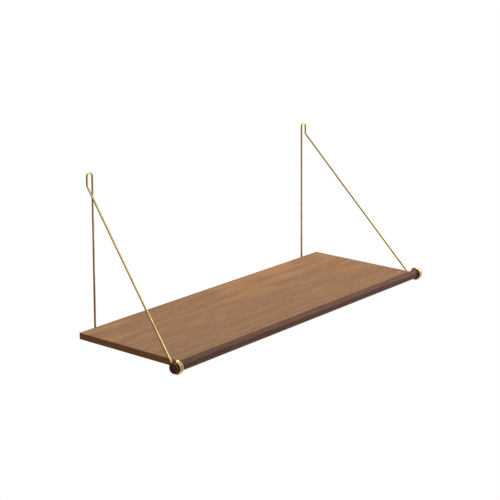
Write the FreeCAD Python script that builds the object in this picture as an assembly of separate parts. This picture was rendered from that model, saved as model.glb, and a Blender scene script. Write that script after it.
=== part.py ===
import FreeCAD, Part

import math
import os

from FreeCAD import Vector

# A wall shelf: a wooden board with a rail along its front edge, hung on the wall by two bent brass wires.
# Millimetres. +X runs along the shelf, +Y into the wall, +Z up.
# The origin is the centre of the board's rear face.

# ---- driving dimensions ----
BOARD_LENGTH = 760.0
BOARD_THICKNESS = 13.5
EDGE_EASING = 0.8  # rounding of the board's open edges
RAIL_AXIS_DEPTH = 264.5  # board's rear face to the rail's axis
RAIL_RADIUS = 9.5
NECK_LENGTH = 20.1  # round end of the rail past each side of the board, where a coil sits

KNOB_RADIUS = 10.4
KNOB_THICKNESS = 3.2
KNOB_RIM_ROUNDING = 1.1
TENON_RADIUS = 4.0
TENON_LENGTH = 14.0

DOWEL_COUNT = 6
DOWEL_RADIUS = 2.5
DOWEL_SPACING = 130.0
DOWEL_DEPTH_IN_RAIL = 8.0
DOWEL_DEPTH_IN_BOARD = 20.5

GLUE_GAP = 0.05  # radial room of a dowel or tenon in its hole
HOLE_END_ROOM = 0.25  # room past the end of a dowel or tenon

WIRE_RADIUS = 2.0
WIRE_END_CHAMFER = 0.5
WIRE_STANDOFF = 6.0  # board's rear face to the centre line of the upright, which stands behind it
UPRIGHT_INSET = 48.3  # board's side to the upright, at the board's top
UPRIGHT_LEAN = 4.0  # how far the upright leans towards the middle over its height
UPRIGHT_HEIGHT = 307.0  # board's top to the top of the loop's centre line
LOOP_WIDTH = 14.0  # between the centre lines of the loop's two legs
ELBOW_HEIGHT = 282.0  # board's top to the corner where the loop's outer leg turns into the sloping arm
ELBOW_BEND_RADIUS = 8.0
FOOT_LENGTH = 36.0  # from the upright forwards under the board
FOOT_BEND_RADIUS = 5.0
FOOT_GAP = 0.2  # board's underside to the foot

COIL_GAP = 0.4  # radial room of the coil on the neck
COIL_START = 9.0  # board's side to where the sloping arm meets the coil
COIL_PITCH = 5.4
COIL_TURNS = 1.6
COIL_LEAD = 2.0  # straight wire just before the coil, in line with its first turn
COIL_LEAD_BEND_RADIUS = 80.0

# ---- derived dimensions ----
HALF_LENGTH = BOARD_LENGTH / 2
BOARD_TOP = BOARD_THICKNESS / 2
BOARD_UNDERSIDE = -BOARD_THICKNESS / 2
FLAT_FROM_AXIS = math.sqrt(RAIL_RADIUS**2 - BOARD_TOP**2)  # the rail's flat is as high as the board is thick
BOARD_DEPTH = RAIL_AXIS_DEPTH - FLAT_FROM_AXIS
RAIL_HALF_LENGTH = HALF_LENGTH + NECK_LENGTH
UPRIGHT_FROM_MIDDLE = HALF_LENGTH - UPRIGHT_INSET
COIL_RADIUS = RAIL_RADIUS + COIL_GAP + WIRE_RADIUS

ALONG = Vector(1, 0, 0)
INTO_WALL = Vector(0, 1, 0)
UP = Vector(0, 0, 1)
RAIL_CENTRE = Vector(0, -RAIL_AXIS_DEPTH, 0)  # in the board's middle plane


def mirrored(shape):
    """The same shape at the other end of the shelf."""
    return shape.mirror(Vector(0, 0, 0), ALONG)


# ---- wood ----
def dowel_centres():
    """Points on the glue plane between the board and the rail's flat, one per dowel."""
    first = -DOWEL_SPACING * (DOWEL_COUNT - 1) / 2
    return [Vector(first + DOWEL_SPACING * index, -BOARD_DEPTH, 0) for index in range(DOWEL_COUNT)]


def dowel(centre, radial_room, end_room):
    """One dowel, or its hole when it is given some room."""
    start = centre - INTO_WALL * (DOWEL_DEPTH_IN_RAIL + end_room)
    length = DOWEL_DEPTH_IN_RAIL + DOWEL_DEPTH_IN_BOARD + 2 * end_room
    return Part.makeCylinder(DOWEL_RADIUS + radial_room, length, start, INTO_WALL)


def dowel_holes():
    return [dowel(centre, GLUE_GAP, HOLE_END_ROOM) for centre in dowel_centres()]


def rail_dowels():
    return Part.makeCompound([dowel(centre, 0, 0) for centre in dowel_centres()])


def is_open_edge(edge):
    """True for the board's long rear edges and its top and bottom side edges."""
    box = edge.BoundBox
    level = box.ZLength < 0.01
    on_front = box.YMax < 0.01 - BOARD_DEPTH
    return level and not on_front


def shelf_board():
    corner = Vector(-HALF_LENGTH, -BOARD_DEPTH, BOARD_UNDERSIDE)
    board = Part.makeBox(BOARD_LENGTH, BOARD_DEPTH, BOARD_THICKNESS, corner)
    board = board.makeFillet(EDGE_EASING, [edge for edge in board.Edges if is_open_edge(edge)])
    return board.cut(dowel_holes())


def knob_tenon(radial_room, end_room):
    """Tenon of the left knob, or its hole in the rail's left end when it is given some room."""
    start = Vector(-RAIL_HALF_LENGTH, RAIL_CENTRE.y, RAIL_CENTRE.z)
    return Part.makeCylinder(TENON_RADIUS + radial_room, TENON_LENGTH + end_room, start, ALONG)


def front_rail():
    """Round rail with a flat along its rear for the board's front edge. Its two necks are fully round."""
    start = Vector(-RAIL_HALF_LENGTH, RAIL_CENTRE.y, RAIL_CENTRE.z)
    rail = Part.makeCylinder(RAIL_RADIUS, 2 * RAIL_HALF_LENGTH, start, ALONG)
    behind_flat_corner = Vector(-HALF_LENGTH, -BOARD_DEPTH, -RAIL_RADIUS)
    behind_flat = Part.makeBox(BOARD_LENGTH, RAIL_RADIUS, 2 * RAIL_RADIUS, behind_flat_corner)
    tenon_hole = knob_tenon(GLUE_GAP, HOLE_END_ROOM)
    return rail.cut([behind_flat, tenon_hole, mirrored(tenon_hole)] + dowel_holes())


def left_end_knob():
    """Turned disc with a rounded rim and a tenon that is glued into the rail's end."""
    face_centre = Vector(-RAIL_HALF_LENGTH - KNOB_THICKNESS, RAIL_CENTRE.y, RAIL_CENTRE.z)
    disc = Part.makeCylinder(KNOB_RADIUS, KNOB_THICKNESS, face_centre, ALONG)
    outer_rim = [edge for edge in disc.Edges if edge.BoundBox.XMax < face_centre.x + 0.01]
    return disc.makeFillet(KNOB_RIM_ROUNDING, outer_rim).fuse(knob_tenon(0, 0))


# ---- brass wire ----
def wire_section(centre, direction):
    """Round face of the wire, square to its direction."""
    return Part.Face(Part.Wire(Part.makeCircle(WIRE_RADIUS, centre, direction)))


def straight_wire(start, end):
    return Part.makeCylinder(WIRE_RADIUS, start.distanceToPoint(end), start, end - start)


def wire_end(tip, direction):
    """Chamfered end of the wire. The tip is its last point, and the direction points out of the wire."""
    base = tip - direction * WIRE_END_CHAMFER
    return Part.makeCone(WIRE_RADIUS, WIRE_RADIUS - WIRE_END_CHAMFER, WIRE_END_CHAMFER, base, direction)


def bent_wire(points, bend_radii):
    """Solids of a wire with straight runs between the points and a tangent bend at each inner point."""
    solids = []
    run_start = points[0]
    for before, corner, after, bend_radius in zip(points, points[1:], points[2:], bend_radii):
        arriving = (corner - before).normalize()
        leaving = (after - corner).normalize()
        turn = arriving.getAngle(leaving)
        setback = bend_radius * math.tan(turn / 2)
        bend_start = corner - arriving * setback
        bend_axis = arriving.cross(leaving).normalize()
        bend_centre = bend_start + bend_axis.cross(arriving) * bend_radius
        if run_start.distanceToPoint(bend_start) > 0.001:
            solids.append(straight_wire(run_start, bend_start))
        section = wire_section(bend_start, arriving)
        solids.append(section.revolve(bend_centre, bend_axis, math.degrees(turn)))
        run_start = corner + leaving * setback
    solids.append(straight_wire(run_start, points[-1]))
    return solids


def coil_start_angle(elbow):
    """Angle round the rail's axis, from +Y towards +Z, where a straight arm touches the coil."""
    depth = elbow.y - RAIL_CENTRE.y
    height = elbow.z - RAIL_CENTRE.z
    return math.atan2(height, depth) - math.acos(COIL_RADIUS / math.hypot(depth, height))


def coil_frame(angle):
    """The left coil's start point, and its wire's direction there."""
    outward = INTO_WALL * math.cos(angle) + UP * math.sin(angle)
    around = INTO_WALL * math.sin(angle) - UP * math.cos(angle)
    start = RAIL_CENTRE - ALONG * (HALF_LENGTH + COIL_START) + outward * COIL_RADIUS
    direction = around * (2 * math.pi * COIL_RADIUS) - ALONG * COIL_PITCH
    return start, direction.normalize()


def left_coil(angle):
    """The wire's turns on the rail's neck, which run outwards, and the chamfered end of the wire."""
    helix = Part.makeHelix(COIL_PITCH, COIL_PITCH * COIL_TURNS, COIL_RADIUS)
    # The helix winds about +Z from +X. Its axis is laid along -X and its start turned to the angle.
    lay_down = FreeCAD.Rotation(Vector(0, 1, 0), -90)
    radial = lay_down.multVec(Vector(1, 0, 0))
    turned_from = math.degrees(math.atan2(radial.z, radial.y))
    turn = FreeCAD.Rotation(ALONG, math.degrees(angle) - turned_from)
    base = RAIL_CENTRE - ALONG * (HALF_LENGTH + COIL_START)
    helix.Placement = FreeCAD.Placement(base, turn * lay_down)
    start, direction = coil_frame(angle)
    section = Part.Wire(Part.makeCircle(WIRE_RADIUS, start, direction))
    coil = Part.Wire(helix.Edges).makePipeShell([section], True, True)
    end_angle = angle - 2 * math.pi * COIL_TURNS
    end, end_direction = coil_frame(end_angle)
    end = end - ALONG * COIL_PITCH * COIL_TURNS
    return [coil, wire_end(end + end_direction * WIRE_END_CHAMFER, end_direction)]


def left_wire_bracket():
    """One wire: foot under the board, upright behind it, hanging loop, sloping arm and coil."""
    lean = math.atan2(UPRIGHT_LEAN, UPRIGHT_HEIGHT)
    rising = UP * math.cos(lean) + ALONG * math.sin(lean)
    sideways = UP * math.sin(lean) - ALONG * math.cos(lean)

    at_board_top = Vector(-UPRIGHT_FROM_MIDDLE, WIRE_STANDOFF, BOARD_TOP)
    foot_depth = BOARD_THICKNESS + FOOT_GAP + WIRE_RADIUS
    foot_corner = at_board_top - rising * foot_depth
    foot_tip = foot_corner - INTO_WALL * FOOT_LENGTH
    loop_inner = at_board_top + rising * UPRIGHT_HEIGHT
    loop_outer = loop_inner + sideways * LOOP_WIDTH
    elbow = at_board_top + rising * ELBOW_HEIGHT + sideways * LOOP_WIDTH

    angle = coil_start_angle(elbow)
    coil_start, coil_direction = coil_frame(angle)
    lead_corner = coil_start - coil_direction * COIL_LEAD

    points = [foot_tip, foot_corner, loop_inner, loop_outer, elbow, lead_corner, coil_start]
    bend_radii = [FOOT_BEND_RADIUS, LOOP_WIDTH / 2, LOOP_WIDTH / 2, ELBOW_BEND_RADIUS, COIL_LEAD_BEND_RADIUS]
    solids = bent_wire(points, bend_radii) + left_coil(angle)
    solids.append(wire_end(foot_tip - INTO_WALL * WIRE_END_CHAMFER, -INTO_WALL))
    return solids[0].fuse(solids[1:])


def export(node, shape):
    shape.exportStep("parts/" + node + ".step")
    solids = len(shape.Solids)
    print(f"{node}: {solids} solid(s), valid {shape.isValid()}, {shape.Volume / 1000:.2f} cm3")


def main():
    os.makedirs("parts", exist_ok=True)
    bracket = left_wire_bracket()
    knob = left_end_knob()
    export("shelf_board", shelf_board())
    export("front_rail", front_rail())
    export("rail_dowels", rail_dowels())
    export("left_end_knob", knob)
    export("right_end_knob", mirrored(knob))
    export("left_wire_bracket", bracket)
    export("right_wire_bracket", mirrored(bracket))


main()
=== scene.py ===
import math

import bpy
from mathutils import Matrix, Vector


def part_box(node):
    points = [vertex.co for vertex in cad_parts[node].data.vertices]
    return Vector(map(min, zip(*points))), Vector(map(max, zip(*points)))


# Looks of the wall shelf: oiled brown wood with fine straight grain, and polished brass wire.
# Metres, in the frame of the CAD model: +X along the shelf, +Y into the wall, +Z up.
# Names that end in _MM, and the sizes and places under "wood" and "brass", are in millimetres.

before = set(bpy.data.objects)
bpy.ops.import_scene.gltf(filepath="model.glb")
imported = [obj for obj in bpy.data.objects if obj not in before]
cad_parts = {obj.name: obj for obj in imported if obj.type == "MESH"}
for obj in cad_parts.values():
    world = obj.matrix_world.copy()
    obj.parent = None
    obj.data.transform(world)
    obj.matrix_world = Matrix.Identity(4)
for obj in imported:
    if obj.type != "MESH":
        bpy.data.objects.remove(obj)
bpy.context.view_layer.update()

MM_PER_METRE = 1000.0
BOARD_LOW, BOARD_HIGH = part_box("shelf_board")
RAIL_LOW, RAIL_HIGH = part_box("front_rail")
SHELF_MIDDLE = (BOARD_LOW + BOARD_HIGH) / 2
BOARD_FRONT_MM = BOARD_LOW.y * MM_PER_METRE
BOARD_REAR_MM = BOARD_HIGH.y * MM_PER_METRE
RAIL_AXIS_MM = (
    (RAIL_LOW.y + RAIL_HIGH.y) / 2 * MM_PER_METRE,
    (RAIL_LOW.z + RAIL_HIGH.z) / 2 * MM_PER_METRE,
)  # the axis lies along X, so it is given by its Y and Z

# ---- camera ----
CAMERA_PLACE = Vector((-2.2770, -1.9824, 0.9195))
CAMERA_YAW = 50.625  # degrees from +Y towards +X
CAMERA_PITCH = 15.346  # degrees down
CAMERA_ROLL = -0.015  # degrees
SENSOR_WIDTH = 36.0  # in millimetres, as the lens is
CAMERA_LENS = 107.06

# ---- studio ----
FLOOR_DROP = 3.2  # the floor is this far under the shelf, so that it doesn't block a view from below
FLOOR_SIDE = 120.0
FLOOR_GLOW = 1.0
WORLD_GLOW = 1.0
WALL_RADIUS = 3.0
WALL_HEIGHT = 2.5  # above the shelf
WALL_SIDES = 64
WALL_DIM_GLOW = 0.12  # away from the bright side
WALL_BRIGHT_GLOW = 1.1  # on the bright side, which is to the right and the front
BRIGHT_SIDE = Vector((0.766, -0.643, 0.0))
GLOW_RISE = (0.25, 0.9)  # where the glow starts and stops rising towards the bright side, in radii
KEY_HEIGHT = 2.3
KEY_SIDE = 1.8
KEY_POWER = 60.0
KEY_OFFSET = Vector((0.35, 0.75, KEY_HEIGHT))  # from the middle of the shelf
RIGHT_FILL_OFFSET = Vector((0.75, -0.35, 0.45))  # from the right end of the board
RIGHT_FILL_SIDE = 0.6
RIGHT_FILL_POWER = 4.0

# ---- wood ----
# A size is a feature's length along the fibres and its width across them.
NOISE_MIDDLE = 0.5  # of what a noise gives, from 0 to 1
WANDER_SIZE = (420.0, 70.0)
WANDER_REACH = 34.0  # how far the growth bands wander
BAND_WIDTH = 7.5
FIBRE_SIZE = (20.0, 1.2)
STREAK_SIZE = (58.0, 6.5)
PORE_SIZE = (11.0, 0.75)
PATCH_SIZE = (150.0, 26.0)
TOOL_MARK_PITCH = 0.9

# A rise is a pair of values, between which a soft step goes from none to all.
BAND_RISE = (0.32, 0.68)
PORE_RISE = (0.585, 0.69)
TONE_RISE = (0.36, 0.97)
PATCH_RISE = (0.42, 0.66)
END_RISE = (0.55, 0.95)  # of the part of the normal that lies along the fibres
SLANT_RISE = (0.97, 0.80)  # of the normal's largest part, which is least where it slants most
RUB_RISE = (0.35, 0.62)

# Shares of what makes the tone go from dark to light.
BAND_SHARE = 0.20
FIBRE_SHARE = 0.45
STREAK_SHARE = 0.70

WARMTH_WITH_PAINTED_REAR_LIGHT = (0.12, 0.85)  # how strong the warm, lighter patches are at the board's two edges, front then rear; their rise towards the rear is painted light
WARMTH_EVERYWHERE = 0.55
PORE_STRENGTH = 0.42
PORE_SHADE = 0.28  # of the dark colour
RUB_STRENGTH = (0.1, 0.5)  # least and most
RUB_SHADE = 1.35  # of the light colour

WOOD_ROUGHNESS = 0.48
FIBRE_ROUGHNESS = 0.16  # added where the fibres stand high
PORE_ROUGHNESS = 0.18  # added in the pores
WOOD_SPECULAR = 0.18
FIBRE_DEPTH = 0.00006  # in metres, as the next two are
PORE_DEPTH = 0.00012
TOOL_MARK_DEPTH = 0.00002

# ---- brass ----
BRASS_BRIGHT = (0.78, 0.58, 0.23)
BRASS_DULL = (0.52, 0.38, 0.15)
TARNISH_SIZE = 16.0
TARNISH_RISE = (0.42, 0.70)
TARNISH_STRENGTH = 0.7
BRASS_ROUGHNESS = 0.17
TARNISH_ROUGHNESS = 0.14  # added where the tarnish is full
WAVE_SIZE = 9.0
WAVE_DEPTH = 0.000015  # in metres


def colour(red, green, blue):
    return (red, green, blue, 1.0)


def shaded(base, share):
    """A colour made darker or lighter."""
    return colour(*[min(1.0, channel * share) for channel in base[:3]])


# ---- node helpers ----
class Graph:
    """A material whose nodes are added and joined one call at a time."""

    def __init__(self, name):
        self.material = bpy.data.materials.new(name)
        self.material.use_nodes = True
        self.tree = self.material.node_tree
        self.shader = self.tree.nodes["Principled BSDF"]

    def add(self, kind, *values, **settings):
        """Adds a node, with one value or socket for each of its first inputs, and returns it."""
        node = self.tree.nodes.new(kind)
        for key, setting in settings.items():
            setattr(node, key, setting)
        for socket, value in zip([s for s in node.inputs if s.enabled], values):
            self.feed(socket, value)
        return node

    def feed(self, socket, value):
        """Joins a socket to an input, or sets the input to a plain value. None leaves it alone."""
        if isinstance(value, bpy.types.NodeSocket):
            self.tree.links.new(value, socket)
        elif value is not None:
            socket.default_value = value

    def shade(self, **values):
        """Feeds the shader's inputs. An underscore stands for a space in an input's name."""
        for key, value in values.items():
            self.feed(self.shader.inputs[key.replace("_", " ")], value)

    def math(self, operation, *values):
        return self.add("ShaderNodeMath", *values, operation=operation).outputs[0]

    def vector(self, operation, *values):
        return self.add("ShaderNodeVectorMath", *values, operation=operation).outputs[0]

    def measure(self, operation, *values):
        """A vector operation that gives one number."""
        return self.add("ShaderNodeVectorMath", *values, operation=operation).outputs["Value"]

    def parts(self, vector):
        return self.add("ShaderNodeSeparateXYZ", vector).outputs

    def join(self, x, y, z):
        return self.add("ShaderNodeCombineXYZ", x, y, z).outputs[0]

    def noise(self, vector, detail, roughness=0.5):
        node = self.add("ShaderNodeTexNoise")
        self.feed(node.inputs["Vector"], vector)
        self.feed(node.inputs["Scale"], 1.0)
        self.feed(node.inputs["Detail"], detail)
        self.feed(node.inputs["Roughness"], roughness)
        return node.outputs["Fac"]

    def bands(self, position, detail):
        """Uneven bands one unit wide along a distance."""
        node = self.add("ShaderNodeTexNoise", noise_dimensions="1D")
        self.feed(node.inputs["W"], position)
        self.feed(node.inputs["Scale"], 1.0)
        self.feed(node.inputs["Detail"], detail)
        return node.outputs["Fac"]

    def step(self, value, rise, result=(0.0, 1.0)):
        """A soft step from the first result to the second as a value goes through its rise."""
        node = self.add("ShaderNodeMapRange", value, *rise, *result, interpolation_type="SMOOTHSTEP")
        return node.outputs["Result"]

    def blend(self, factor, first, second):
        node = self.add("ShaderNodeMix", data_type="RGBA")
        self.feed(node.inputs[0], factor)
        self.feed(node.inputs[6], first)
        self.feed(node.inputs[7], second)
        return node.outputs[2]

    def bump(self, height, depth, normal=None):
        """Relief of a height from 0 to 1 over a depth in metres, on top of another relief if given."""
        node = self.add("ShaderNodeBump")
        self.feed(node.inputs["Strength"], 1.0)
        self.feed(node.inputs["Distance"], depth)
        self.feed(node.inputs["Height"], height)
        self.feed(node.inputs["Normal"], normal)
        return node.outputs["Normal"]

    def object_place(self):
        return self.add("ShaderNodeTexCoord").outputs["Object"]

    def object_normal(self):
        return self.add("ShaderNodeTexCoord").outputs["Normal"]

    def millimetres(self):
        """The point's place in the object, in millimetres."""
        return self.vector("MULTIPLY", self.object_place(), (MM_PER_METRE,) * 3)

    def distance_from(self, place, line):
        """A place's distance from a line along X, which is given by its Y and Z."""
        _, y, z = self.parts(place)
        apart = self.join(0.0, self.math("SUBTRACT", y, line[0]), self.math("SUBTRACT", z, line[1]))
        return self.measure("LENGTH", apart)


# ---- wood ----
class Grain:
    """The patterns of solid wood with its fibres along X, each from 0 to 1."""

    def __init__(self, graph, place, pith, seed):
        self.graph = graph
        self.shifted = graph.vector("ADD", place, seed)
        self.growth = self.growth_bands(place, pith)
        self.fibres = self.pattern(FIBRE_SIZE, detail=4.0, roughness=0.65)
        self.streaks = self.pattern(STREAK_SIZE, detail=4.0, roughness=0.6)
        self.pores = graph.step(self.pattern(PORE_SIZE, detail=2.0), PORE_RISE)
        self.patches = graph.step(self.pattern(PATCH_SIZE, detail=3.0, roughness=0.6), PATCH_RISE)

    def pattern(self, size, detail, roughness=0.5):
        """Noise with features of a size, along and across the fibres."""
        along, across = size
        stretched = self.graph.vector("MULTIPLY", self.shifted, (1 / along, 1 / across, 1 / across))
        return self.graph.noise(stretched, detail, roughness)

    def growth_bands(self, place, pith):
        """Bands round the pith, which wander slowly along the board."""
        graph = self.graph
        wander = graph.math("SUBTRACT", self.pattern(WANDER_SIZE, detail=2.0), NOISE_MIDDLE)
        wander = graph.math("MULTIPLY", wander, WANDER_REACH)
        radius = graph.math("ADD", graph.distance_from(place, pith), wander)
        return graph.step(graph.bands(graph.math("DIVIDE", radius, BAND_WIDTH), detail=4.0), BAND_RISE)

    def tone(self):
        """How light the wood is."""
        tone = self.graph.math("MULTIPLY", self.growth, BAND_SHARE)
        tone = self.graph.math("MULTIPLY_ADD", self.fibres, FIBRE_SHARE, tone)
        tone = self.graph.math("MULTIPLY_ADD", self.streaks, STREAK_SHARE, tone)
        return self.graph.step(tone, TONE_RISE)


def warmth_and_painted_light(graph, grain, place, painted_rear_light):
    """Warmer, lighter patches of the wood's own tone. Where asked, they grow towards the wall: painted
    light, the rear of the board made lighter as if lit more.
    """
    if not painted_rear_light:
        return graph.math("MULTIPLY", grain.patches, WARMTH_EVERYWHERE)
    # painted light: the patches grow towards the wall, so the rear of the board is painted lighter and
    # warmer
    _, y, _ = graph.parts(place)
    painted_light_towards_wall = graph.step(y, (BOARD_FRONT_MM, BOARD_REAR_MM), WARMTH_WITH_PAINTED_REAR_LIGHT)
    return graph.math("MULTIPLY", grain.patches, painted_light_towards_wall)


def rubbing(graph, grain, normal_parts):
    """How rubbed the wood is: not at all where it faces along an axis, and most where it faces
    between two, as an eased edge does, and as a round rail does along its slanting sides.
    """
    largest = graph.math("MAXIMUM", graph.math("MAXIMUM", *normal_parts[:2]), normal_parts[2])
    slanting = graph.step(largest, SLANT_RISE)
    return graph.math("MULTIPLY", slanting, graph.step(grain.streaks, RUB_RISE, RUB_STRENGTH))


def wood(
    name, light, dark, warm, pith, seed, end_colour, end_amount, painted_rear_light=False, lathe_axis=None
):
    """Solid wood with its fibres along X. Its growth bands lie round the pith, a line along X.

    The end colour is blended over the faces that cut across the fibres, by the end amount. A piece
    with a lathe axis has turning marks round it, and the others are rubbed where they slant.
    """
    graph = Graph(name)
    place = graph.millimetres()
    grain = Grain(graph, place, pith, seed)
    surface = graph.blend(grain.tone(), dark, light)
    # warm patches; on the board they grow towards the wall, which is painted light
    surface = graph.blend(warmth_and_painted_light(graph, grain, place, painted_rear_light), surface, warm)
    pore_strength = graph.math("MULTIPLY", grain.pores, PORE_STRENGTH)
    surface = graph.blend(pore_strength, surface, shaded(dark, PORE_SHADE))

    normal_parts = [graph.math("ABSOLUTE", part) for part in graph.parts(graph.object_normal())]
    on_end = graph.step(normal_parts[0], END_RISE)
    surface = graph.blend(graph.math("MULTIPLY", on_end, end_amount), surface, end_colour)

    relief = graph.bump(grain.fibres, FIBRE_DEPTH)
    relief = graph.bump(graph.math("SUBTRACT", 1.0, grain.pores), PORE_DEPTH, relief)
    if lathe_axis is None:
        rubbed = rubbing(graph, grain, normal_parts)
        surface = graph.blend(rubbed, surface, shaded(light, RUB_SHADE))
    else:
        turned = graph.distance_from(place, lathe_axis)
        marks = graph.math("SINE", graph.math("MULTIPLY", turned, 2 * math.pi / TOOL_MARK_PITCH))
        height = graph.math("MULTIPLY_ADD", marks, 0.5, 0.5)  # from -1 to 1, to 0 to 1
        relief = graph.bump(height, TOOL_MARK_DEPTH, relief)

    roughness = graph.math("MULTIPLY_ADD", grain.fibres, FIBRE_ROUGHNESS, WOOD_ROUGHNESS)
    roughness = graph.math("MULTIPLY_ADD", grain.pores, PORE_ROUGHNESS, roughness)
    graph.shade(Base_Color=surface, Roughness=roughness, Normal=relief)
    graph.shade(Specular_IOR_Level=WOOD_SPECULAR)
    return graph.material


def board_wood():
    return wood(
        "board_wood",
        light=colour(0.238, 0.119, 0.054),
        dark=colour(0.150, 0.074, 0.033),
        warm=colour(0.278, 0.139, 0.057),
        pith=(260.0, -210.0),
        seed=(0.0, 0.0, 0.0),
        end_colour=colour(0.360, 0.140, 0.050),
        end_amount=0.8,
        # painted light: the rear of the board is made lighter and warmer
        painted_rear_light=True,
    )


def rail_wood():
    return wood(
        "rail_wood",
        light=colour(0.105, 0.040, 0.017),
        dark=colour(0.042, 0.016, 0.007),
        warm=colour(0.115, 0.037, 0.013),
        pith=(-330.0, -60.0),
        seed=(900.0, 40.0, 30.0),
        end_colour=colour(0.016, 0.007, 0.004),
        end_amount=0.45,
    )


def knob_wood():
    return wood(
        "knob_wood",
        light=colour(0.170, 0.068, 0.030),
        dark=colour(0.080, 0.032, 0.015),
        warm=colour(0.190, 0.060, 0.026),
        pith=(-264.0, -30.0),
        seed=(300.0, 10.0, 80.0),
        end_colour=colour(0.110, 0.048, 0.022),
        end_amount=0.6,
        lathe_axis=RAIL_AXIS_MM,
    )


def dowel_wood():
    return wood(
        "dowel_wood",
        light=colour(0.60, 0.44, 0.27),
        dark=colour(0.48, 0.33, 0.19),
        warm=colour(0.60, 0.40, 0.22),
        pith=(-250.0, 20.0),
        seed=(70.0, 5.0, 5.0),
        end_colour=colour(0.30, 0.20, 0.12),
        end_amount=0.3,
    )


# ---- brass ----
def brass():
    """Drawn and polished brass wire, with a little tarnish."""
    graph = Graph("brass")
    place = graph.millimetres()
    tarnish_field = graph.noise(graph.vector("MULTIPLY", place, (1 / TARNISH_SIZE,) * 3), detail=4.0)
    tarnish = graph.step(tarnish_field, TARNISH_RISE)
    dulling = graph.math("MULTIPLY", tarnish, TARNISH_STRENGTH)
    waves = graph.noise(graph.vector("MULTIPLY", place, (1 / WAVE_SIZE,) * 3), detail=1.0)
    graph.shade(
        Base_Color=graph.blend(dulling, colour(*BRASS_BRIGHT), colour(*BRASS_DULL)),
        Roughness=graph.math("MULTIPLY_ADD", tarnish, TARNISH_ROUGHNESS, BRASS_ROUGHNESS),
        Normal=graph.bump(waves, WAVE_DEPTH),
        Metallic=1.0,
    )
    return graph.material


def dress(material, *nodes):
    """Gives a material to CAD nodes."""
    for node in nodes:
        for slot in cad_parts[node].material_slots:
            slot.material = material


def dress_all():
    dress(board_wood(), "shelf_board")
    dress(rail_wood(), "front_rail")
    dress(knob_wood(), "left_end_knob", "right_end_knob")
    dress(dowel_wood(), "rail_dowels")
    dress(brass(), "left_wire_bracket", "right_wire_bracket")


# ---- studio ----
def glow_material(name, strength, bright_strength=None):
    """Plain white glow. With a second strength, it rises to that on the studio's bright side."""
    graph = Graph(name)
    if bright_strength is not None:
        towards_bright = graph.measure("DOT_PRODUCT", graph.object_place(), BRIGHT_SIDE)
        rise = [radii * WALL_RADIUS for radii in GLOW_RISE]
        strength = graph.step(towards_bright, rise, (strength, bright_strength))
    graph.shade(Base_Color=colour(0.0, 0.0, 0.0), Specular_IOR_Level=0.0, Roughness=1.0)
    graph.shade(Emission_Color=colour(1.0, 1.0, 1.0), Emission_Strength=strength)
    return graph.material


def stage_mesh(name, points, faces, material):
    mesh = bpy.data.meshes.new(name)
    mesh.from_pydata(points, [], faces)
    mesh.materials.append(material)
    piece = bpy.data.objects.new(name, mesh)
    bpy.context.scene.collection.objects.link(piece)
    return piece


def make_floor():
    """Plain pale floor."""
    half = FLOOR_SIDE / 2
    level = SHELF_MIDDLE.z - FLOOR_DROP
    corners = [(-half, -half, level), (half, -half, level), (half, half, level), (-half, half, level)]
    stage_mesh("floor", corners, [(0, 1, 2, 3)], glow_material("floor_pale", FLOOR_GLOW))


def make_walls():
    """Round studio wall, dim with one bright side. It shows only in reflections and shading."""
    low = SHELF_MIDDLE.z - FLOOR_DROP
    high = SHELF_MIDDLE.z + WALL_HEIGHT
    points = []
    faces = []
    for index in range(WALL_SIDES):
        turn = 2 * math.pi * index / WALL_SIDES
        x = SHELF_MIDDLE.x + WALL_RADIUS * math.cos(turn)
        y = SHELF_MIDDLE.y + WALL_RADIUS * math.sin(turn)
        points += [(x, y, low), (x, y, high)]
        here = 2 * index
        after = 2 * ((index + 1) % WALL_SIDES)
        faces.append((here, after, after + 1, here + 1))
    glow = glow_material("walls_dim", WALL_DIM_GLOW, WALL_BRIGHT_GLOW)
    walls = stage_mesh("studio_walls", points, faces, glow)
    walls.visible_camera = False


def add_light(name, offset, target, side, power):
    """Square soft light that stands off its target and points at it."""
    light = bpy.data.lights.new(name, "AREA")
    light.shape = "SQUARE"
    light.size = side
    light.energy = power
    lamp = bpy.data.objects.new(name, light)
    lamp.location = target + offset
    lamp.rotation_euler = (-offset).to_track_quat("-Z", "Y").to_euler()
    lamp.visible_camera = False
    bpy.context.scene.collection.objects.link(lamp)


def make_lights():
    world = bpy.data.worlds.new("studio")
    bpy.context.scene.world = world
    world.use_nodes = True
    background = world.node_tree.nodes["Background"]
    background.inputs["Color"].default_value = colour(1.0, 1.0, 1.0)
    background.inputs["Strength"].default_value = WORLD_GLOW

    add_light("key", KEY_OFFSET, SHELF_MIDDLE, KEY_SIDE, KEY_POWER)
    right_end = Vector((BOARD_HIGH.x, SHELF_MIDDLE.y, SHELF_MIDDLE.z))
    add_light("right_fill", RIGHT_FILL_OFFSET, right_end, RIGHT_FILL_SIDE, RIGHT_FILL_POWER)


def make_camera():
    data = bpy.data.cameras.new("camera")
    data.sensor_width = SENSOR_WIDTH
    data.lens = CAMERA_LENS
    camera = bpy.data.objects.new("camera", data)
    yaw = Matrix.Rotation(-math.radians(CAMERA_YAW), 4, "Z")
    pitch = Matrix.Rotation(math.radians(90.0 - CAMERA_PITCH), 4, "X")
    roll = Matrix.Rotation(math.radians(CAMERA_ROLL), 4, "Z")
    camera.matrix_world = Matrix.Translation(CAMERA_PLACE) @ yaw @ pitch @ roll
    bpy.context.scene.collection.objects.link(camera)
    bpy.context.scene.camera = camera


bpy.context.scene.view_settings.view_transform = "Standard"
make_camera()
dress_all()
make_floor()
make_walls()
make_lights()
